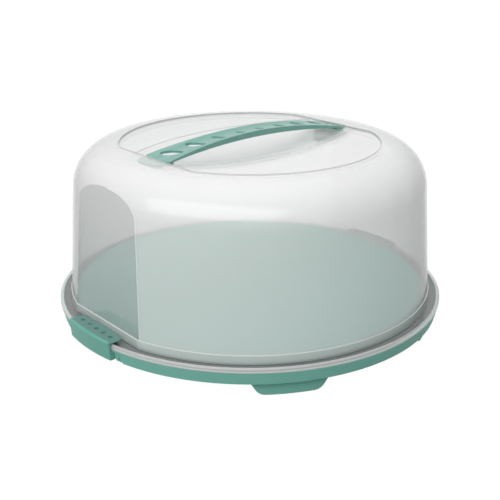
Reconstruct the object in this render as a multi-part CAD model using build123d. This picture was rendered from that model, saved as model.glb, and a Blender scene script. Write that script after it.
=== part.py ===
from build123d import *
from math import cos, radians, sin, sqrt, tan
import os

# Round cake carrier: a tray on four feet, a clear hood with a carrying strap, and two latches that
# hook over the hood's rolled rim. Millimetres. The origin is on the standing surface, on the
# carrier's axis. +Z is up, and the latches and the strap lie along X.

# Driving dimensions
parting_height = 23.5        # where the hood's rim meets the tray
rim_radius = 172.5           # outside of the rolled rim
clearance = 0.3              # gap between parts that rest on each other

# Tray
tray_wall = 2.0
plateau_radius = 157.0       # raised disc that the cake stands on
plateau_rise = 8.0           # above the parting line
plateau_edge_round = 2.0
plateau_flat = 152.6         # flats beside the latches, from the axis
shelf_thickness = 1.9
apron_bottom = 13.1          # lower edge of the outer wall
apron_bottom_radius = 170.0
apron_top_radius = 172.4
keel_radius = 163.3          # inner ring wall that the feet stand on
keel_bottom = 14.5
rib_depth = 5.0
rib_thickness = 1.6
radial_rib_count = 12
ring_rib_radius = 78.0

foot_angles = (60, 120, 240, 300)
foot_top_half_width = 38.4
foot_bottom_half_width = 24.3
foot_corner = 9.5
foot_gusset_depth = 9.0
foot_gusset_spacing = 14.0

# Hood
hood_wall = 1.7
hood_rise = 136.6            # crown above the parting line
shoulder_radius = 36.0
shoulder_centre_radius = 118.4
wall_draft = 4.6             # degrees
ledge_rise = 9.6             # small step above the skirt
ledge_radius = 162.6
skirt_bottom_radius = 163.4
flange_thickness = 1.45
bead_width = 3.4
bead_centre_rise = 2.3
flat_at_ledge = 155.0        # flat side panels, from the axis
flat_slope = 0.062
skirt_flat = 156.2

recess_radius = 113.5        # round recess in the crown, cut off square at the strap's ends
recess_depth = 1.4
recess_half_length = 102.0
pit_depth = 17.0             # finger pit under the strap
pit_half_width = 54.0
pit_end_half_width = 28.0

# Strap
strap_half_length = 101.5    # at the middle of its rounded ends
strap_end_bow = 3.5
strap_crown_rise = 145.9     # edges of the arch above the parting line
strap_end_rise = 135.3
strap_crown_thickness = 5.0
strap_end_thickness = 1.1
strap_half_width = 11.1      # at the middle
strap_end_half_width = 16.2
strap_flange = 1.8
groove_radius = 36.0         # hollow along the strap's top, which fades towards its ends
groove_crown_rise = 144.2
groove_end_rise = 135.0
strap_web = 1.6              # left between the groove and the hollow underside
tab_rise = 134.6
tab_thickness = 1.6
tab_half_width = 15.4
tab_start = 94.0
tab_end = 112.0
tab_corner = 10.0
tab_clearance = 0.25
barb_height = 1.0
slot_places = (11.2, 35.2, 59.8, 84.0)
slot_lengths = (8.6, 12.5, 18.0, 20.0)
slot_aspect = 0.5
slot_slant = -56.0           # degrees from the strap's length

# Latches
latch_half_width = 29.8
latch_inner_edge = 157.4     # at the middle; the edge bows towards the hood
latch_inner_bow = 2.6
latch_corner = 3.0
latch_outer_radius = 175.2
latch_foot_radius = 173.9
latch_wall = 1.9
latch_plate_thickness = 1.6
latch_plate_rise = 6.65      # top of the hook above the parting line
latch_bottom_rise = -9.2
latch_edge_round = 1.3
latch_lip = 0.65             # extra depth of the plate's inner edge, inside the bead
latch_lip_radius = 163.0
thumb_ridge = 172.6          # outer edge of the sloping thumb rest, at the middle
thumb_ridge_end = 170.7
thumb_rest_half_width = 33.0
thumb_depth = 0.25           # at the ridge
thumb_slope = 2.6            # degrees, down towards the hood
dimple_count = 5
dimple_pitch = 10.4
dimple_radius = 2.1
dimple_depth = 0.6
dimple_place = 164.5

pivot_reach = 167.0          # hinge line of each latch, from the axis
pivot_height = 16.5
stud_radius = 1.5
stud_fit = 0.05
knuckle_radius = 2.7
knuckle_inner = 15.6
knuckle_outer = 20.2
lug_inner = 20.6
lug_outer = 24.0
notch_half_width = 38.6
notch_depth_radius = 164.0
strip_radius = 171.0         # wall set back at each end of the notch
strip_slot = (1.2, 3.0)

FAR = 400.0                  # longer than any part


def rise(z):
    """Height above the standing surface of a height given from the parting line."""
    return parting_height + z


def turned(*edges):
    """Solid of revolution about the carrier's axis, from edges in the XZ plane."""
    return revolve(make_face(Wire(edges)), axis=Axis.Z)


def turned_outline(points):
    """Solid of revolution of a straight-sided outline given as (radius, height)."""
    outline = Polyline(*[(r, 0, z) for r, z in points], close=True)
    return revolve(make_face(outline), axis=Axis.Z)


def side_prism(points, half_width):
    """Outline in the XZ plane, extruded both ways along Y."""
    outline = Polyline(*[(x, 0, z) for x, z in points], close=True)
    return extrude(make_face(outline), amount=half_width, dir=(0, 1, 0), both=True)


def block(x, y, z):
    """Box from three (low, high) pairs."""
    size = [high - low for low, high in (x, y, z)]
    middle = [(high + low) / 2 for low, high in (x, y, z)]
    return Pos(*middle) * Box(*size)


def on_both_sides(shape):
    """The shape and its mirror image across the YZ plane."""
    return [shape, mirror(shape, about=Plane.YZ)]


def cylinder_along_y(radius, x, z, y_low, y_high):
    """Round bar along Y."""
    bar = Rot(90, 0, 0) * Cylinder(radius, y_high - y_low)
    return Pos(x, (y_low + y_high) / 2, z) * bar


# ---- Tray -------------------------------------------------------------------------------------

shelf_top = rise(-clearance / 2)
shelf_bottom = shelf_top - shelf_thickness
plateau_top = rise(plateau_rise)
plateau_foot_radius = plateau_radius + 1.5


def plateau_block(shrink):
    """The raised disc with its two flats, made smaller by a wall thickness."""
    top = plateau_top - shrink
    disc = turned_outline([
        (0, shelf_bottom - 1),
        (plateau_foot_radius - shrink, shelf_bottom - 1),
        (plateau_radius - shrink, top),
        (0, top),
    ])
    flat = plateau_flat - shrink
    disc -= on_both_sides(block((flat, FAR), (-FAR, FAR), (0, FAR)))
    return disc


def foot(angle):
    """One foot: a curved blade with rounded lower corners, stiffened behind by three gussets."""
    outline = Polyline(
        (0, -foot_top_half_width, shelf_bottom),
        (0, -foot_bottom_half_width, 0),
        (0, foot_bottom_half_width, 0),
        (0, foot_top_half_width, shelf_bottom),
        close=True,
    )
    face = make_face(outline)
    lower_corners = face.vertices().sort_by(Axis.Z)[:2]
    face = fillet(lower_corners, foot_corner)
    slab = extrude(face, amount=FAR, dir=(1, 0, 0))
    ring = Cylinder(keel_radius, FAR) - Cylinder(keel_radius - tray_wall, FAR)
    blade = slab & ring
    inner = keel_radius - foot_gusset_depth
    gusset_outline = [
        (inner - 3, shelf_bottom + 0.5),
        (inner + 3, 0),
        (keel_radius - tray_wall / 2, 0),
        (keel_radius - tray_wall / 2, shelf_bottom + 0.5),
    ]
    for place in (-foot_gusset_spacing, 0, foot_gusset_spacing):
        blade += Pos(0, place, 0) * side_prism(gusset_outline, rib_thickness / 2)
    return Rot(0, 0, angle) * (blade & Cylinder(keel_radius, FAR))


def make_tray():
    tray = plateau_block(0)
    top_edges = tray.edges().filter_by(lambda e: abs(e.center().Z - plateau_top) < 0.01)
    tray = fillet(top_edges, plateau_edge_round)
    tray -= plateau_block(tray_wall)

    # Shelf that the hood's flange rests on, and the apron below it
    tray += turned_outline([
        (plateau_flat - tray_wall, shelf_bottom),
        (plateau_flat - tray_wall, shelf_top),
        (apron_top_radius, shelf_top),
        (apron_bottom_radius, apron_bottom),
        (apron_bottom_radius - tray_wall, apron_bottom),
        (apron_top_radius - tray_wall - 0.4, shelf_bottom),
    ]) - plateau_block(tray_wall)
    keel = Cylinder(keel_radius, shelf_top - keel_bottom) - Cylinder(keel_radius - rib_thickness, FAR)
    tray += Pos(0, 0, (shelf_top + keel_bottom) / 2) * keel

    # Stiffening ribs under the plateau
    rib_top = plateau_top - tray_wall / 2
    rib_bottom = plateau_top - tray_wall - rib_depth
    ring = Cylinder(ring_rib_radius, rib_top - rib_bottom)
    ring -= Cylinder(ring_rib_radius - rib_thickness, FAR)
    tray += Pos(0, 0, (rib_top + rib_bottom) / 2) * ring
    spoke = block(
        (ring_rib_radius - rib_thickness, plateau_radius - tray_wall),
        (-rib_thickness / 2, rib_thickness / 2),
        (rib_bottom, rib_top),
    )
    spokes = [Rot(0, 0, 360 * (i + 0.5) / radial_rib_count) * spoke for i in range(radial_rib_count)]
    tray += [s & plateau_block(tray_wall / 2) for s in spokes]
    tray += [foot(angle) for angle in foot_angles]

    tray = tray - on_both_sides(notch())
    tray += on_both_sides(hinge_seat())
    return tray - on_both_sides(hinge_bores())


def notch():
    """Space cut out of the apron for a latch."""
    cut = block((0, FAR), (-notch_half_width, notch_half_width), (0, shelf_bottom))
    return cut - Cylinder(notch_depth_radius, FAR)


def hinge_seat():
    """Two hinge knuckles under the shelf, and the set-back wall at each end of the notch."""
    knuckle = cylinder_along_y(knuckle_radius, pivot_reach, pivot_height, knuckle_inner, knuckle_outer)
    stem = block(
        (pivot_reach - knuckle_radius, pivot_reach + knuckle_radius),
        (knuckle_inner, knuckle_outer),
        (pivot_height, shelf_bottom + 0.5),
    )
    strip = turned_outline([
        (strip_radius - 3.4, apron_bottom),
        (strip_radius - 2.0, apron_bottom),
        (strip_radius, shelf_bottom + 0.5),
        (strip_radius - 3.4, shelf_bottom + 0.5),
    ])
    strip &= block((0, FAR), (latch_half_width + 0.6, notch_half_width + 1), (0, FAR))
    half = knuckle + stem + strip
    return half + mirror(half, about=Plane.XZ)


def hinge_bores():
    """Bores for the latch's studs, and the small slot through each set-back wall."""
    bore = cylinder_along_y(
        stud_radius + stud_fit, pivot_reach, pivot_height, knuckle_inner - 1, knuckle_outer + 1
    )
    slot_y = (latch_half_width + notch_half_width + 0.6) / 2
    slot = block(
        (strip_radius - 12, strip_radius),
        (slot_y - strip_slot[0] / 2, slot_y + strip_slot[0] / 2),
        (pivot_height - strip_slot[1] / 2, pivot_height + strip_slot[1] / 2),
    )
    half = bore + slot
    return half + mirror(half, about=Plane.XZ)


# ---- Hood -------------------------------------------------------------------------------------

flange_bottom = rise(clearance / 2)
crown = rise(hood_rise)
ledge = rise(ledge_rise)
recess_floor = crown - recess_depth


def dome(inset, bottom):
    """Solid dome down to a given height: drafted wall, round shoulder and level crown."""
    radius = shoulder_radius - inset
    centre = crown - shoulder_radius
    tilt = radians(wall_draft)
    middle = radians(45 + wall_draft / 2)
    start = (shoulder_centre_radius, 0, crown - inset)
    through = (shoulder_centre_radius + radius * cos(middle), 0, centre + radius * sin(middle))
    end = (shoulder_centre_radius + radius * cos(tilt), 0, centre + radius * sin(tilt))
    foot_point = (end[0] + (end[2] - bottom) * tan(tilt), 0, bottom)
    solid = turned(
        Line((0, 0, crown - inset), start),
        ThreePointArc(start, through, end),
        Line(end, foot_point),
        Line(foot_point, (0, 0, bottom)),
        Line((0, 0, bottom), (0, 0, crown - inset)),
    )
    low = flat_at_ledge - inset + flat_slope * (ledge - bottom)
    high = flat_at_ledge - inset - flat_slope * (crown - ledge)
    panel = side_prism([(low, bottom), (high, crown), (FAR, crown), (FAR, bottom)], FAR)
    return solid - on_both_sides(panel)


def crown_recess(inset):
    """The round recess and the finger pit below it, both cut off square at the strap's ends."""
    disc = Pos(0, 0, crown) * Cylinder(recess_radius + inset, 2 * (recess_depth + inset))
    hub = (pit_half_width ** 2 - pit_depth ** 2) / (2 * pit_depth)
    mid_reach = hub + pit_depth
    end_reach = sqrt(pit_end_half_width ** 2 + hub ** 2)
    axis_height = recess_floor + hub
    stretch = recess_half_length
    outline = Wire([
        Line((-stretch, 0, axis_height), (stretch, 0, axis_height)),
        Line((stretch, 0, axis_height), (stretch, 0, axis_height - end_reach - inset)),
        ThreePointArc(
            (stretch, 0, axis_height - end_reach - inset),
            (0, 0, axis_height - mid_reach - inset),
            (-stretch, 0, axis_height - end_reach - inset),
        ),
        Line((-stretch, 0, axis_height - end_reach - inset), (-stretch, 0, axis_height)),
    ])
    pit = revolve(make_face(outline), axis=Axis((0, 0, axis_height), (1, 0, 0)))
    pit = pit & block((-FAR, FAR), (-FAR, FAR), (0, crown + 1))
    pit = scale_along_x(pit, inset)
    half_length = recess_half_length + inset
    return (disc + pit) & block((-half_length, half_length), (-FAR, FAR), (0, FAR))


def scale_along_x(shape, inset):
    """Lengthen a shape by the inset at both ends."""
    factor = (recess_half_length + inset) / recess_half_length
    return scale(shape, by=(factor, 1, 1)) if inset else shape


def make_hood():
    shell = dome(0, ledge)
    skirt = turned_outline([
        (0, flange_bottom),
        (skirt_bottom_radius, flange_bottom),
        (ledge_radius, ledge),
        (0, ledge),
    ])
    shell += skirt - on_both_sides(block((skirt_flat, FAR), (-FAR, FAR), (0, FAR)))
    floor_top = flange_bottom + flange_thickness
    bead_inner = rim_radius - bead_width
    bead_centre = rise(bead_centre_rise)
    inner = flat_at_ledge - 4
    shell += turned(
        Line((inner, 0, flange_bottom), (rim_radius, 0, flange_bottom)),
        Line((rim_radius, 0, flange_bottom), (rim_radius, 0, bead_centre)),
        ThreePointArc(
            (rim_radius, 0, bead_centre),
            (rim_radius - bead_width / 2, 0, bead_centre + bead_width / 2),
            (bead_inner, 0, bead_centre),
        ),
        Line((bead_inner, 0, bead_centre), (bead_inner, 0, floor_top)),
        Line((bead_inner, 0, floor_top), (inner, 0, floor_top)),
        Line((inner, 0, floor_top), (inner, 0, flange_bottom)),
    )
    cavity = dome(hood_wall, flange_bottom - 1) - crown_recess(hood_wall)
    shell = shell - crown_recess(0) - cavity

    # Slots that the strap's tabs push through
    slot_low = rise(tab_rise) - tab_thickness - tab_clearance
    slot_high = rise(tab_rise) + tab_clearance
    half_width = tab_half_width + tab_clearance
    slot = block(
        (recess_half_length - 1, recess_half_length + hood_wall + 1),
        (-half_width, half_width),
        (slot_low, slot_high),
    )
    return shell - on_both_sides(slot)


# ---- Strap ------------------------------------------------------------------------------------


def arch_radius(crown_z, end_z):
    """Radius of the arch through the strap's crown and ends."""
    drop = crown_z - end_z
    return (strap_half_length ** 2 + drop ** 2) / (2 * drop)


def arched_disc(crown_z, end_z):
    """Disc on a line along Y, whose rim is an arch over the strap's length."""
    radius = arch_radius(crown_z, end_z)
    return Pos(0, 0, crown_z - radius) * Rot(90, 0, 0) * Cylinder(radius, 3 * strap_end_half_width)


def strap_plan(shrink):
    """Strap seen from above, waisted at the middle and bowed at its ends, as a tall solid."""
    end, mid = strap_end_half_width - shrink, strap_half_width - shrink
    length = strap_half_length - strap_end_bow
    outline = Wire([
        ThreePointArc((-length, end, 0), (0, mid, 0), (length, end, 0)),
        ThreePointArc((length, end, 0), (strap_half_length, 0, 0), (length, -end, 0)),
        ThreePointArc((length, -end, 0), (0, -mid, 0), (-length, -end, 0)),
        ThreePointArc((-length, -end, 0), (-strap_half_length, 0, 0), (-length, end, 0)),
    ])
    return extrude(make_face(outline), amount=FAR)


def make_strap():
    top_crown, top_end = rise(strap_crown_rise), rise(strap_end_rise)
    strap = arched_disc(top_crown, top_end) & strap_plan(0)
    strap -= arched_disc(top_crown - strap_crown_thickness, top_end - strap_end_thickness)

    # The top is hollowed by a round groove and the underside by a channel, with a thin web between
    groove_crown, groove_end = rise(groove_crown_rise), rise(groove_end_rise)
    reach = arch_radius(groove_crown, groove_end)
    groove = Rot(90, 0, 0) * Torus(reach + groove_radius, groove_radius)
    strap -= Pos(0, 0, groove_crown - reach) * groove
    channel = arched_disc(groove_crown - strap_web, groove_end - strap_web)
    strap -= channel & strap_plan(strap_flange)

    # Graduated slanted slots through the web
    for place, length in zip(slot_places, slot_lengths):
        for side in (-1, 1):
            oval = Rot(0, 0, slot_slant) * Ellipse(length / 2, length * slot_aspect / 2)
            strap -= Pos(side * place, 0, 0) * extrude(oval, amount=FAR)

    # Tabs that hold the strap under the crown, each with a heel and a barb behind the slot
    tab_bottom = rise(tab_rise) - tab_thickness
    tab_plan = Pos((tab_start + tab_end) / 2, 0) * Rectangle(tab_end - tab_start, 2 * tab_half_width)
    tab_plan = fillet(tab_plan.vertices().sort_by(Axis.X)[-2:], tab_corner)
    tab = Pos(0, 0, tab_bottom) * extrude(tab_plan, amount=tab_thickness)
    heel_end = strap_half_length - strap_end_bow
    heel = block((tab_start, heel_end), (-tab_half_width, tab_half_width), (tab_bottom, FAR))
    heel &= arched_disc(top_crown - 0.3, top_end - 0.3)
    heel -= Pos(0, 0, groove_crown - reach) * groove
    barb_start = recess_half_length + hood_wall + 2 * tab_clearance
    barb = side_prism(
        [
            (barb_start, tab_bottom + 0.2),
            (barb_start, tab_bottom - barb_height),
            (barb_start + 4, tab_bottom + 0.2),
        ],
        tab_half_width - tab_corner,
    )
    end = tab + heel + barb
    outer_slot = Rot(0, 0, slot_slant) * Ellipse(slot_lengths[-1] / 2, slot_lengths[-1] * slot_aspect / 2)
    end -= [Pos(x, 0, 0) * extrude(outer_slot, amount=FAR) for x in (-slot_places[-1], slot_places[-1])]
    return strap + on_both_sides(end)


# ---- Latches ----------------------------------------------------------------------------------


def make_latch():
    """Latch on the +X side: a hook plate over the rim, an outer wall with a short return at each
    end, and two lugs with studs."""
    plate_top = rise(latch_plate_rise)
    plate_bottom = plate_top - latch_plate_thickness
    bottom = rise(latch_bottom_rise)
    section = Polyline(
        (latch_lip_radius + latch_lip, 0, plate_bottom),
        (latch_lip_radius, 0, plate_bottom - latch_lip),
        (latch_inner_edge - 10, 0, plate_bottom - latch_lip),
        (latch_inner_edge - 10, 0, plate_top),
        (latch_outer_radius, 0, plate_top),
        (latch_foot_radius, 0, bottom),
        (latch_foot_radius - latch_wall, 0, bottom),
        (latch_outer_radius - latch_wall, 0, plate_bottom),
        close=True,
    )
    ring = revolve(make_face(section), axis=Axis.Z)
    outer_rim = ring.edges().filter_by(GeomType.CIRCLE).filter_by(
        lambda e: abs(e.radius - latch_outer_radius) < 0.01
    )
    ring = fillet(outer_rim, latch_edge_round)
    half_width = latch_half_width
    plan = Wire([
        ThreePointArc(
            (latch_inner_edge + latch_inner_bow, -half_width),
            (latch_inner_edge, 0),
            (latch_inner_edge + latch_inner_bow, half_width),
        ),
        Line((latch_inner_edge + latch_inner_bow, half_width), (rim_radius + 9, half_width)),
        Line((rim_radius + 9, half_width), (rim_radius + 9, -half_width)),
        Line((rim_radius + 9, -half_width), (latch_inner_edge + latch_inner_bow, -half_width)),
    ])
    plan = make_face(plan)
    plan = fillet(plan.vertices().sort_by(Axis.X)[:2], latch_corner)
    latch = ring & extrude(plan, amount=FAR)

    # Thumb rest: the top slopes down behind a curved ridge, with a row of dimples
    reach, inside = thumb_rest_half_width, latch_inner_edge - 9
    rest = Wire([
        ThreePointArc((thumb_ridge_end, -reach, 0), (thumb_ridge, 0, 0), (thumb_ridge_end, reach, 0)),
        Line((thumb_ridge_end, reach, 0), (inside, reach, 0)),
        Line((inside, reach, 0), (inside, -reach, 0)),
        Line((inside, -reach, 0), (thumb_ridge_end, -reach, 0)),
    ])
    hinge_line = Pos(thumb_ridge, 0, plate_top - thumb_depth) * Rot(0, -thumb_slope, 0)
    latch -= hinge_line * Pos(-thumb_ridge, 0, 0) * extrude(make_face(rest), amount=9)
    dimple_floor = thumb_depth + (thumb_ridge - dimple_place) * tan(radians(thumb_slope)) + dimple_depth
    ball_radius = (dimple_radius ** 2 + dimple_depth ** 2) / (2 * dimple_depth)
    for i in range(dimple_count):
        place = (i - (dimple_count - 1) / 2) * dimple_pitch
        latch -= Pos(dimple_place, place, plate_top - dimple_floor + ball_radius) * Sphere(ball_radius)

    lug = cylinder_along_y(knuckle_radius, pivot_reach, pivot_height, lug_inner, lug_outer)
    lug += block(
        (pivot_reach, latch_foot_radius),
        (lug_inner, lug_outer),
        (pivot_height - knuckle_radius, pivot_height + knuckle_radius),
    )
    lug &= turned_outline([
        (0, 0),
        (latch_foot_radius - latch_wall / 2, 0),
        (latch_foot_radius - latch_wall / 2, crown),
        (0, crown),
    ])
    stud = cylinder_along_y(stud_radius, pivot_reach, pivot_height, knuckle_inner, lug_inner + 1)
    end_return = block(
        (pivot_reach - 0.5, latch_foot_radius),
        (half_width - latch_wall, half_width),
        (bottom, shelf_bottom - 0.55),
    )
    end_return &= Cylinder(latch_foot_radius - latch_wall / 2, FAR)
    for part in (lug, stud, end_return):
        latch += part
        latch += mirror(part, about=Plane.XZ)
    return latch


latch = make_latch()
parts = {
    "base_tray": make_tray(),
    "hood": make_hood(),
    "carry_strap": make_strap(),
    "latch_right": latch,
    "latch_left": mirror(latch, about=Plane.YZ),
}

os.makedirs("parts", exist_ok=True)
for name, shape in parts.items():
    export_step(shape, f"parts/{name}.step")
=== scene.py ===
import math

import bpy
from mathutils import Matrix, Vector

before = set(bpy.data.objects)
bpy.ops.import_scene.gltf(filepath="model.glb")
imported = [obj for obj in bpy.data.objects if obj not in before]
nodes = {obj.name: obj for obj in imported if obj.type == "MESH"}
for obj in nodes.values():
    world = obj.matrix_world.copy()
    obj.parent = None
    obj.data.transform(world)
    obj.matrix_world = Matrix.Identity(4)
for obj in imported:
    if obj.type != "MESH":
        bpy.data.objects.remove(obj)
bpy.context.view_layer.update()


# ---- Tray ----
# The tray is one green polypropylene moulding: plateau, shelf, outer wall and feet. It comes out of
# a finely eroded mould, so it has a satin skin with a very fine grain and faint flow mottling.

tray_dark = (0.182, 0.460, 0.385)
tray_light = (0.202, 0.495, 0.418)
tray_roughness = 0.50
tray_shine = 0.12
green_grain_scale = 900
green_grain_depth = 0.000012
flow_scale = 14
flow_band = (0.35, 0.65)     # stretch of the flow mottling that changes the roughness
flow_roughness = 0.035       # the most that it adds or takes away
slot_middle = (0.1606, 0.0345, 0.0165)       # narrow slot at each side of a latch
slot_half_size = (0.005, 0.00065, 0.00155)
slot_shade = (0.01, 0.03, 0.025)             # little light gets into it
grid_columns = 10            # layout of the nodes in the editor
grid_step = 260


def link(tree, source, target):
    tree.links.new(source, target)


def add(tree, kind, **settings):
    """New node, set out on a grid in the order in which the nodes are made."""
    count = len(tree.nodes)
    node = tree.nodes.new(kind)
    node.location = (count % grid_columns * grid_step, -(count // grid_columns) * grid_step)
    for name, value in settings.items():
        setattr(node, name, value)
    return node


def combine(tree, operation, *sources):
    """Maths on outputs and plain numbers, worked from left to right."""
    result = sources[0]
    for source in sources[1:]:
        node = add(tree, "ShaderNodeMath", operation=operation)
        for socket, value in zip(node.inputs, (result, source)):
            if isinstance(value, (int, float)):
                socket.default_value = value
            else:
                link(tree, value, socket)
        result = node.outputs["Value"]
    return result


def all_of(tree, *masks):
    return combine(tree, "MULTIPLY", *masks)


def near(tree, source, value, reach):
    """Mask that is 1 where the source is within reach of the value."""
    node = add(tree, "ShaderNodeMath", operation="COMPARE")
    link(tree, source, node.inputs[0])
    node.inputs[1].default_value = value
    node.inputs[2].default_value = reach
    return node.outputs["Value"]


def near_all(tree, sources, values, reaches):
    """Mask that is 1 where each source is within its reach of its value."""
    return all_of(tree, *(near(tree, *limits) for limits in zip(sources, values, reaches)))


def ramp(tree, source, source_range, result_range):
    """The source's range stretched to the result's; it stays level beyond both ends."""
    node = add(tree, "ShaderNodeMapRange")
    ends = (*source_range, *result_range)
    for name, value in zip(("From Min", "From Max", "To Min", "To Max"), ends):
        node.inputs[name].default_value = value
    link(tree, source, node.inputs["Value"])
    return node.outputs["Result"]


def place_on_piece(tree):
    """X, Y and Z of a point on the piece."""
    where = add(tree, "ShaderNodeTexCoord")
    place = add(tree, "ShaderNodeSeparateXYZ")
    link(tree, where.outputs["Object"], place.inputs["Vector"])
    return place.outputs


def off_middle(tree, source):
    """How far a point is to either side of a middle plane."""
    return combine(tree, "ABSOLUTE", source, 0)


def tinted(tree, colour, mask, tint):
    """The colour, with the tint where the mask is 1."""
    mix = add(tree, "ShaderNodeMix", data_type="RGBA")
    for name, value in (("A", colour), ("B", tint)):
        if isinstance(value, tuple):
            mix.inputs[name].default_value = (*value, 1)
        else:
            link(tree, value, mix.inputs[name])
    link(tree, mask, mix.inputs["Factor"])
    return mix.outputs["Result"]


def tint_where(tree, mask, tint):
    """Tint the colour that the material has so far where the mask is 1."""
    target = tree.nodes["Principled BSDF"].inputs["Base Color"]
    link(tree, tinted(tree, target.links[0].from_socket, mask, tint), target)


def moulded_skin():
    """Grain height, flow mottling and roughness of a moulded plastic skin, on Object coordinates."""
    tree = bpy.data.node_groups.new("moulded_skin", "ShaderNodeTree")
    for name in ("Grain Scale", "Roughness"):
        tree.interface.new_socket(name, in_out="INPUT", socket_type="NodeSocketFloat")
    for name in ("Height", "Mottle", "Roughness"):
        tree.interface.new_socket(name, in_out="OUTPUT", socket_type="NodeSocketFloat")
    given = add(tree, "NodeGroupInput")
    out = add(tree, "NodeGroupOutput")
    where = add(tree, "ShaderNodeTexCoord")
    grain = add(tree, "ShaderNodeTexNoise")
    grain.inputs["Detail"].default_value = 3
    flow = add(tree, "ShaderNodeTexNoise")
    flow.inputs["Scale"].default_value = flow_scale
    flow.inputs["Detail"].default_value = 4
    flow.inputs["Roughness"].default_value = 0.6
    for noise in (grain, flow):
        link(tree, where.outputs["Object"], noise.inputs["Vector"])
    link(tree, given.outputs["Grain Scale"], grain.inputs["Scale"])
    change = ramp(tree, flow.outputs["Fac"], flow_band, (-flow_roughness, flow_roughness))
    link(tree, grain.outputs["Fac"], out.inputs["Height"])
    link(tree, flow.outputs["Fac"], out.inputs["Mottle"])
    link(tree, combine(tree, "ADD", change, given.outputs["Roughness"]), out.inputs["Roughness"])
    return tree


skin = moulded_skin()


def new_material(name):
    material = bpy.data.materials.new(name)
    material.use_nodes = True
    tree = material.node_tree
    tree.nodes.clear()
    out = add(tree, "ShaderNodeOutputMaterial")
    shader = add(tree, "ShaderNodeBsdfPrincipled")
    link(tree, shader.outputs["BSDF"], out.inputs["Surface"])
    return material, tree, shader


def moulded_surface(tree, grain_scale, roughness):
    """The moulded skin in one material, with that material's own grain and roughness."""
    surface = add(tree, "ShaderNodeGroup", node_tree=skin)
    surface.inputs["Grain Scale"].default_value = grain_scale
    surface.inputs["Roughness"].default_value = roughness
    return surface


def raise_grain(tree, shader, surface, depth):
    bump = add(tree, "ShaderNodeBump")
    bump.inputs["Distance"].default_value = depth
    link(tree, surface.outputs["Height"], bump.inputs["Height"])
    link(tree, bump.outputs["Normal"], shader.inputs["Normal"])
    return bump


def green_plastic(name, dark, light, roughness, shine):
    """Satin green polypropylene; dark and light are the two ends of its faint mottling."""
    material, tree, shader = new_material(name)
    surface = moulded_surface(tree, green_grain_scale, roughness)
    link(tree, tinted(tree, dark, surface.outputs["Mottle"], light), shader.inputs["Base Color"])
    link(tree, surface.outputs["Roughness"], shader.inputs["Roughness"])
    raise_grain(tree, shader, surface, green_grain_depth)
    shader.inputs["Specular IOR Level"].default_value = shine
    return material


def dress(obj, material):
    obj.data.materials.clear()
    obj.data.materials.append(material)


tray_green = green_plastic("tray_green", tray_dark, tray_light, tray_roughness, tray_shine)
tree = tray_green.node_tree
x, y, z = place_on_piece(tree)
spot = (off_middle(tree, x), off_middle(tree, y), z)
# Painted shade darkens the inside of each narrow slot beside a latch.
tint_where(tree, near_all(tree, spot, slot_middle, slot_half_size), slot_shade)
dress(nodes["base_tray"], tray_green)


# ---- Latches ----
# Each latch is a small green moulding that snaps into the tray's knuckles. A thumb lifts its hook
# plate off the rim, and five shallow dimples in the plate's sloping rest give it a grip.

latch_dark = (0.125, 0.360, 0.290)
latch_light = (0.142, 0.392, 0.318)
latch_roughness = 0.40
latch_shine = 0.2
parting_height = 0.0235      # where the hood's rim meets the tray
rest_ridge = 0.1726          # outer edge of the thumb rest, from the axis
rest_ridge_height = parting_height + 0.0064
rest_slope = math.tan(math.radians(2.6))
rest_reach = 0.00006         # how near to its plane a point counts as on the rest
rest_painted_shade = (0.118, 0.245, 0.218)
dimple_row = 0.1645          # middle of the dimples, from the axis
dimple_row_reach = 0.003
dimple_level = 0.0004        # middle of their depth below the rest
dimple_level_reach = 0.00032
dimple_painted_shade = (0.05, 0.14, 0.12)


def over(tree, source, value):
    return combine(tree, "GREATER_THAN", source, value)


def upward_share(tree):
    """Upward part of the surface normal: 1 on a level top, 0 on an upright wall."""
    where = add(tree, "ShaderNodeTexCoord")
    normal = add(tree, "ShaderNodeSeparateXYZ")
    link(tree, where.outputs["Normal"], normal.inputs["Vector"])
    return normal.outputs["Z"]


latch_green = green_plastic("latch_green", latch_dark, latch_light, latch_roughness, latch_shine)
tree = latch_green.node_tree
place = place_on_piece(tree)
outward = off_middle(tree, place["X"])
rest_fall = combine(tree, "MULTIPLY", combine(tree, "SUBTRACT", outward, rest_ridge), rest_slope)
rest_height = combine(tree, "ADD", rest_fall, rest_ridge_height)
below_rest = combine(tree, "SUBTRACT", rest_height, place["Z"])
on_top = over(tree, upward_share(tree), 0.5)
on_rest = all_of(tree, near(tree, below_rest, 0, rest_reach), on_top)
in_dimple = all_of(
    tree,
    near(tree, below_rest, dimple_level, dimple_level_reach),
    near(tree, outward, dimple_row, dimple_row_reach),
    on_top,
)
# Painted shade darkens the top of the thumb rest.
tint_where(tree, on_rest, rest_painted_shade)
# A darker painted shade fills the dimples.
tint_where(tree, in_dimple, dimple_painted_shade)
for name in ("latch_left", "latch_right"):
    dress(nodes[name], latch_green)


# ---- Hood ----
# The hood is one thin moulding of translucent polypropylene: clear enough to show a cake, with a
# milky haze. Its skin is glossy, and the haze thickens where one looks along the wall.

hood_roughness = 0.13
hood_refraction = 1.8
hood_grain_scale = 60
hood_grain_depth = 0.000005
hair = 0.0002                # margin between a level face and where a mask beside it begins
line_reach = 0.0004          # half the width of a moulded corner's line


def under(tree, source, value):
    return combine(tree, "LESS_THAN", source, value)


clear_plastic, tree, shader = new_material("clear_plastic")
surface = moulded_surface(tree, hood_grain_scale, hood_roughness)
bump = raise_grain(tree, shader, surface, hood_grain_depth)
x, y, z = place_on_piece(tree)
upward = upward_share(tree)
along = off_middle(tree, x)
flat_place = add(tree, "ShaderNodeCombineXYZ")
link(tree, x, flat_place.inputs["X"])
link(tree, y, flat_place.inputs["Y"])
length = add(tree, "ShaderNodeVectorMath", operation="LENGTH")
link(tree, flat_place.outputs["Vector"], length.inputs[0])
radius = length.outputs["Value"]
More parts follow.
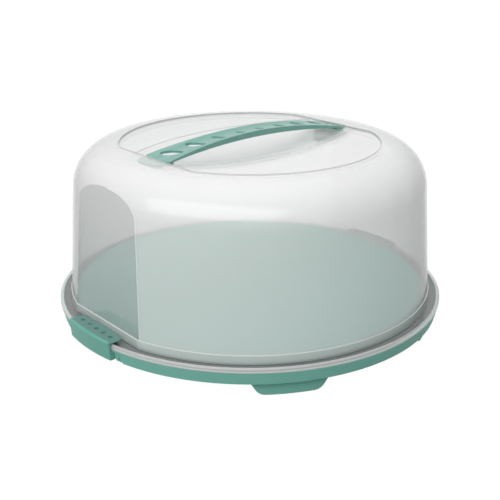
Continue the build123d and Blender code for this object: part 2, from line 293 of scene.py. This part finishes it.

# The round recess in the crown is cut off square at the strap's ends, and so is the finger pit
# in it. Painted shade lines darken their corners.
recess_floor = parting_height + 0.1352
recess_radius = 0.1135
recess_half_length = 0.102
pit_off_ring = 0.0005        # the pit's mask keeps this far from the recess's ring, ends and floor
pit_off_end = 0.0003
pit_off_floor = 0.0003
pit_rim_depth = 0.00026
pit_rim_reach = 0.00022
under_pit = 0.138            # the pit ends above this height
facing_up = 0.1              # upward share from which a face of the pit is its top one
over_floor = over(tree, z, recess_floor - hair)
ring_line = all_of(
    tree,
    near(tree, radius, recess_radius, line_reach),
    over_floor,
    under(tree, along, recess_half_length),
)
end_line = all_of(
    tree,
    near(tree, along, recess_half_length, line_reach),
    over_floor,
    under(tree, radius, recess_radius),
)
in_outline = all_of(
    tree,
    under(tree, radius, recess_radius - pit_off_ring),
    under(tree, along, recess_half_length - pit_off_end),
)
pit_line = all_of(tree, near(tree, z, recess_floor - pit_rim_depth, pit_rim_reach), in_outline)
pit = all_of(
    tree,
    in_outline,
    under(tree, z, recess_floor - pit_off_floor),
    over(tree, z, under_pit),
)
pit_top = all_of(tree, pit, over(tree, upward, facing_up))

# A flat panel leans in beside each latch. Half of its outline gets a painted highlight line, and
# the other half a painted shade line; the panel itself gets painted shade.
ledge_height = parting_height + 0.0096
panel_place = 0.155          # from the axis, at the ledge
panel_slope = 0.062
panel_reach = 0.00006
outline_depth = 0.00023      # beside the panel, the curved wall falls this far behind its plane
outline_reach = 0.00013
lean_in = combine(tree, "MULTIPLY", combine(tree, "SUBTRACT", z, ledge_height), panel_slope)
behind = combine(tree, "SUBTRACT", panel_place, combine(tree, "ADD", lean_in, along))
over_ledge = over(tree, z, ledge_height + hair)
panel = all_of(tree, near(tree, behind, 0, panel_reach), over_ledge)
outline = all_of(tree, near(tree, behind, outline_depth, outline_reach), over_ledge)
painted_highlight_outline = all_of(tree, outline, over(tree, combine(tree, "MULTIPLY", x, y), 0))
painted_shade_outline = combine(tree, "SUBTRACT", outline, painted_highlight_outline)

# At the foot are the ledge over the skirt, with a painted highlight line, the groove between skirt
# and rim with the flange as its floor, and the rolled rim. The groove and the rim get painted
# shade, and so does the rim's lower corner where it meets the tray.
ledge_inside = 0.1535
ledge_reach = 0.0004
groove_middle = (0.16295, 0.0247)            # distance from the axis, and height
groove_reach = (0.00635, 0.0013)
rim_inside = 0.1692
rim_corner = (0.1726, 0.0236)
rim_corner_reach = (0.0004, 0.0006)
ledge = all_of(tree, over(tree, radius, ledge_inside), near(tree, z, ledge_height, ledge_reach))
groove = near_all(tree, (radius, z), groove_middle, groove_reach)
rim = over(tree, radius, rim_inside)
rim_line = near_all(tree, (radius, z), rim_corner, rim_corner_reach)
corner = combine(tree, "MAXIMUM", ring_line, end_line, rim_line, pit_line, painted_shade_outline)

# The wall is thicker to look through along its curve; the level crown stays clear
facing = add(tree, "ShaderNodeLayerWeight")
facing.inputs["Blend"].default_value = 0.5
level = combine(tree, "POWER", combine(tree, "ABSOLUTE", upward, 0), 3)
wall = combine(tree, "SUBTRACT", 1, level)
steep = all_of(tree, combine(tree, "POWER", facing.outputs["Facing"], 3), wall)

# Haze is the share of light that one face stops. It starts from the crown's, grows on the wall and
# where one looks along it, and has a least value on each small form. Light that falls through a
# face loses only lamp_haze.
crown_haze = 0.31
wall_haze = 0.06
edge_haze = 0.35
lamp_haze = 0.13
# The least values on the ledge and on the lit half of each panel outline make painted highlight
# lines; those on the groove and the corners carry painted shade lines.
least_haze = (
    (rim, 0.46),
    (groove, 0.78),
    (ledge, 0.5),
    (painted_highlight_outline, 0.5),
    (corner, 0.66),
    (pit_top, 0.46),
)
along_wall = combine(tree, "MULTIPLY", steep, edge_haze)
haze = combine(tree, "ADD", along_wall, combine(tree, "MULTIPLY", wall, wall_haze), crown_haze)
for mask, least in least_haze:
    haze = combine(tree, "MAXIMUM", haze, combine(tree, "MULTIPLY", mask, least))
path = add(tree, "ShaderNodeLightPath")
opacity = add(tree, "ShaderNodeMix", data_type="FLOAT")
opacity.inputs["B"].default_value = lamp_haze
link(tree, path.outputs["Is Shadow Ray"], opacity.inputs["Factor"])
link(tree, haze, opacity.inputs["A"])
link(tree, opacity.outputs["Result"], shader.inputs["Alpha"])

# Painted shade: the milky colour is darkened to grey on the wall, most of all low down and where
# one looks along it, in the corners, on the side panels, on the rim and in the pit. The groove gets
# a darker painted shade.
hood_milk = (0.96, 0.93, 0.936)
hood_painted_shade = (0.30, 0.31, 0.31)
groove_painted_shade = (0.14, 0.15, 0.15)
grey_span = (0.03, 0.17)     # heights over which the grey falls from its low to its high factor
grey_factor = (1.15, 0.56)
wall_painted_shade = 0.28
edge_painted_shade = 0.62
panel_painted_shade = 0.95
rim_painted_shade = 0.3
pit_painted_shade = 0.12
lower = ramp(tree, z, grey_span, grey_factor)
on_wall = combine(tree, "MULTIPLY", wall, wall_painted_shade, lower)
on_panel = combine(tree, "MINIMUM", combine(tree, "MULTIPLY", panel, panel_painted_shade, lower), 1)
grey = combine(
    tree,
    "MAXIMUM",
    combine(tree, "ADD", on_wall, combine(tree, "MULTIPLY", steep, edge_painted_shade)),
    corner,
    on_panel,
    combine(tree, "MULTIPLY", rim, rim_painted_shade),
    combine(tree, "MULTIPLY", pit_top, pit_painted_shade),
)
link(tree, tinted(tree, hood_milk, grey, hood_painted_shade), shader.inputs["Base Color"])
tint_where(tree, groove, groove_painted_shade)

# The pit is polished, so it has no grain, and it mirrors the strap
polish = 0.55
polish_refraction = 2.4
unpolished = combine(tree, "SUBTRACT", 1, pit)
link(tree, all_of(tree, surface.outputs["Roughness"], unpolished), shader.inputs["Roughness"])
link(tree, unpolished, bump.inputs["Strength"])
link(tree, combine(tree, "MULTIPLY", pit_top, polish), shader.inputs["Coat Weight"])
shader.inputs["Coat Roughness"].default_value = 0
shader.inputs["Coat IOR"].default_value = polish_refraction
shader.inputs["IOR"].default_value = hood_refraction
dress(nodes["hood"], clear_plastic)


# ---- Strap ----
# The carrying strap is a springy green moulding that arches over the finger pit. Slanted ovals
# lighten it, and its end tabs clip in under the hood's crown.

strap_dark = (0.136, 0.328, 0.276)
strap_light = (0.150, 0.352, 0.299)
strap_roughness = 0.24
strap_shine = 0.5

strap_green = green_plastic("strap_green", strap_dark, strap_light, strap_roughness, strap_shine)
dress(nodes["carry_strap"], strap_green)


# ---- Room ----
# A pale floor that looks white and keeps the carrier's shadow, soft light all round that is
# strongest from above, a wide soft lamp at the camera's left, and a fainter one overhead.

floor_size = 12
floor_height = -0.0004       # just under the feet
floor_grey = (0.34, 0.34, 0.34)
floor_glow = 1.12
floor_glow_share = 0.88      # the rest is matt grey, which keeps the shadow
plain_white = (1, 1, 1)
light_side = (-0.36, -0.12, 0.925)           # where the soft light comes from most
light_span = (0.12, 1)       # how far a direction leans to that side, over which the light grows
light_strength = (0.016, 0.84)
camera_heading = math.radians(-41.0)
camera_pitch = 20.9          # degrees down from level
camera_away = 0.724
camera_height = 0.3325
camera_lens = 60.77
lamp_target = Vector((0, 0, 0.1))            # inside the hood


def shows_room(tree):
    """1 for the rays that show the room: straight, mirrored, or through clear plastic."""
    path = add(tree, "ShaderNodeLightPath")
    kinds = ("Is Camera Ray", "Is Glossy Ray", "Is Transmission Ray")
    return combine(tree, "MAXIMUM", *(path.outputs[kind] for kind in kinds))


def blend(tree, share, first, second, out):
    """Show the second shader by that share, and the first for the rest."""
    mix = add(tree, "ShaderNodeMixShader")
    link(tree, share, mix.inputs["Fac"])
    link(tree, first, mix.inputs[1])
    link(tree, second, mix.inputs[2])
    link(tree, mix.outputs["Shader"], out.inputs["Surface"])


bpy.ops.mesh.primitive_plane_add(size=floor_size, location=(0, 0, floor_height))
floor = bpy.context.object
floor.name = "floor"
pale = bpy.data.materials.new("pale_floor")
pale.use_nodes = True
tree = pale.node_tree
tree.nodes.clear()
out = add(tree, "ShaderNodeOutputMaterial")
matt = add(tree, "ShaderNodeBsdfDiffuse")
matt.inputs["Color"].default_value = (*floor_grey, 1)
glow = add(tree, "ShaderNodeEmission")
glow.inputs["Strength"].default_value = floor_glow
glow_share = combine(tree, "MULTIPLY", shows_room(tree), floor_glow_share)
blend(tree, glow_share, matt.outputs["BSDF"], glow.outputs["Emission"], out)
dress(floor, pale)

world = bpy.data.worlds.new("studio")
bpy.context.scene.world = world
world.use_nodes = True
tree = world.node_tree
tree.nodes.clear()
out = add(tree, "ShaderNodeOutputWorld")
soft = add(tree, "ShaderNodeBackground")
plain = add(tree, "ShaderNodeBackground")
for background in (soft, plain):
    background.inputs["Color"].default_value = (*plain_white, 1)
sky = add(tree, "ShaderNodeTexCoord")
lean = add(tree, "ShaderNodeVectorMath", operation="DOT_PRODUCT")
lean.inputs[1].default_value = light_side
link(tree, sky.outputs["Generated"], lean.inputs[0])
link(tree, ramp(tree, lean.outputs["Value"], light_span, light_strength), soft.inputs["Strength"])
blend(tree, shows_room(tree), soft.outputs["Background"], plain.outputs["Background"], out)


def soft_lamp(name, turn, lift, away, size, power):
    """Soft box that looks at the hood, placed by its angles from the camera's side and the floor."""
    lamp = bpy.data.lights.new(name, "AREA")
    lamp.shape = "RECTANGLE"
    lamp.size, lamp.size_y = size
    lamp.energy = power
    obj = bpy.data.objects.new(name, lamp)
    bpy.context.scene.collection.objects.link(obj)
    heading = camera_heading + math.radians(turn)
    rise = math.radians(lift)
    flat = math.cos(rise)
    place = Vector((flat * math.sin(heading), -flat * math.cos(heading), math.sin(rise)))
    obj.location = place * away + lamp_target
    obj.rotation_euler = (-place).to_track_quat("-Z", "Y").to_euler()
    return obj


# The top lamp stays out of reflections, so it leaves no bright patch on the glossy hood
soft_lamp("front_lamp", turn=-24, lift=37, away=1.5, size=(2.4, 0.9), power=16)
top_lamp = soft_lamp("top_lamp", turn=0, lift=88, away=1.6, size=(1.6, 1.6), power=10)
top_lamp.visible_glossy = False

camera_data = bpy.data.cameras.new("camera")
camera_data.lens = camera_lens
camera_data.sensor_width = 36
camera = bpy.data.objects.new("camera", camera_data)
camera.location = (
    camera_away * math.sin(camera_heading),
    -camera_away * math.cos(camera_heading),
    camera_height,
)
camera.rotation_euler = (math.radians(90 - camera_pitch), 0, camera_heading)
bpy.context.scene.collection.objects.link(camera)
bpy.context.scene.camera = camera
bpy.context.scene.view_settings.view_transform = "Standard"
